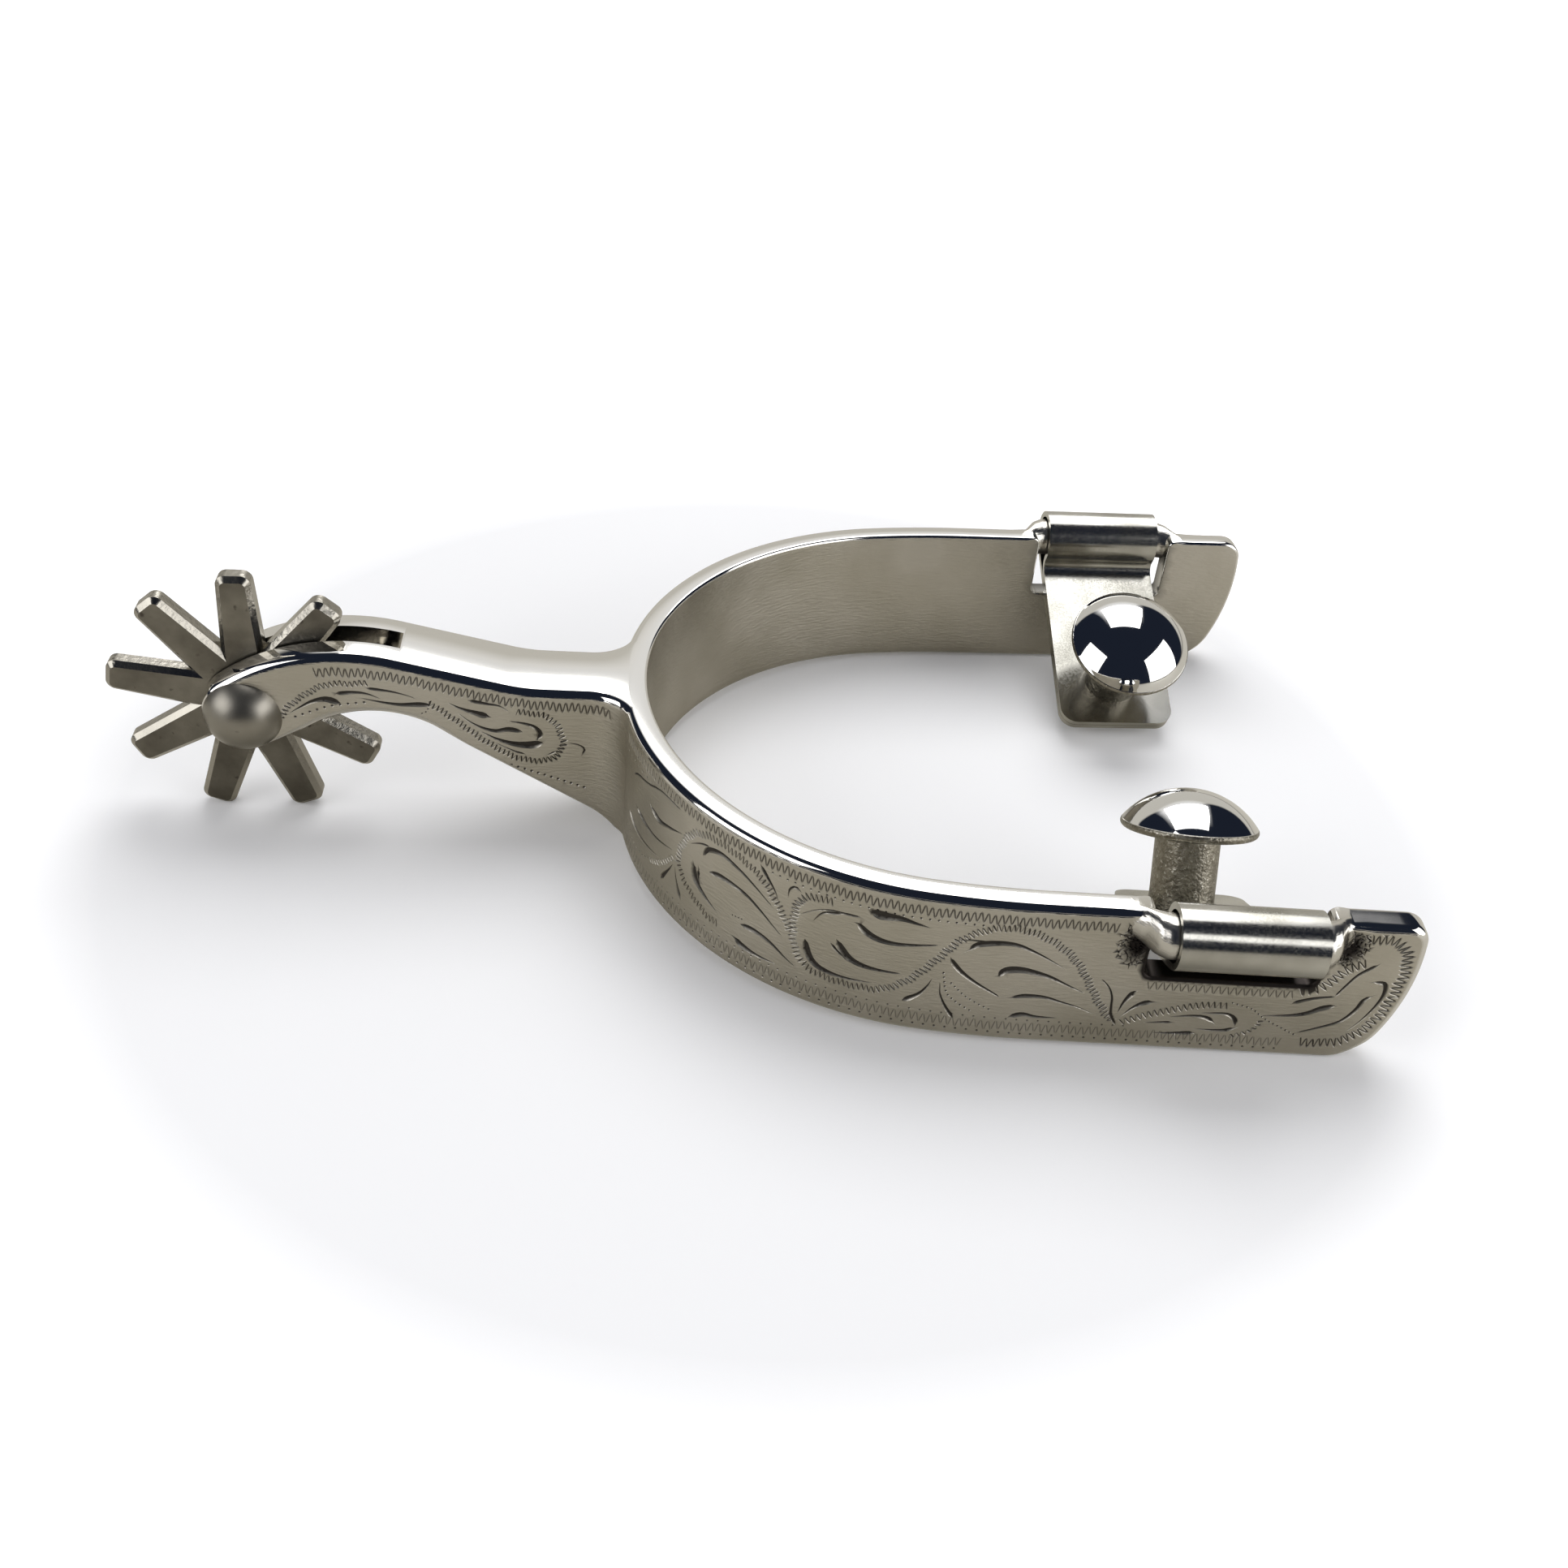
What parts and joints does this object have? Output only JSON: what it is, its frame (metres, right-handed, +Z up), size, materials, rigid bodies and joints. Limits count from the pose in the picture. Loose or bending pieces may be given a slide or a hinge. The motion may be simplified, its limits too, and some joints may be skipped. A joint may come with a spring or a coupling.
{
  "type": "western heel spur",
  "caption": "Western heel spur: U-shaped engraved heel band with a curved shank, a spinning star rowel on a riveted pin, and swinging strap buttons hinged to the arms.",
  "frame": {"origin": "centre of the band's round heel seat, on the plane of the band's lower edge", "axes": "+X out of the band's open end (towards the boot's toe; the rowel is at -X), +Y to the wearer's left, +Z up"},
  "size_m": [0.1451, 0.0918, 0.032],
  "materials": {
    "band_steel": "polished edges, satin engraved faces",
    "rowel_steel": "tumbled, slightly dark",
    "pin_steel": "satin",
    "plate_steel": "polished barrel, satin plate",
    "stud_steel": "mirror-polished head, matt neck"
  },
  "bodies": {
    "spur": {"spur_body": "band_steel", "rowel_pin": "pin_steel"},
    "rowel": {"rowel": "rowel_steel"},
    "left_button": {"left_button_plate": "plate_steel", "left_button_stud": "stud_steel"},
    "right_button": {"right_button_plate": "plate_steel", "right_button_stud": "stud_steel"}
  },
  "joints": [
    {"name": "rowel_spin", "type": "hinge", "parent": "spur", "child": "rowel", "pos_m": [-0.08304, 0, 0.0139], "axis": [0, 1, 0], "continuous": true},
    {"name": "left_button_swing", "type": "hinge", "parent": "spur", "child": "left_button", "pos_m": [0.02586, 0.04208, 0.01715], "axis": [-0.9992, -0.0401, 0], "range_deg": [-6, 245]},
    {"name": "right_button_swing", "type": "hinge", "parent": "spur", "child": "right_button", "pos_m": [0.02586, -0.04208, 0.01715], "axis": [0.9992, -0.0401, 0], "range_deg": [-6, 245]}
  ]
}
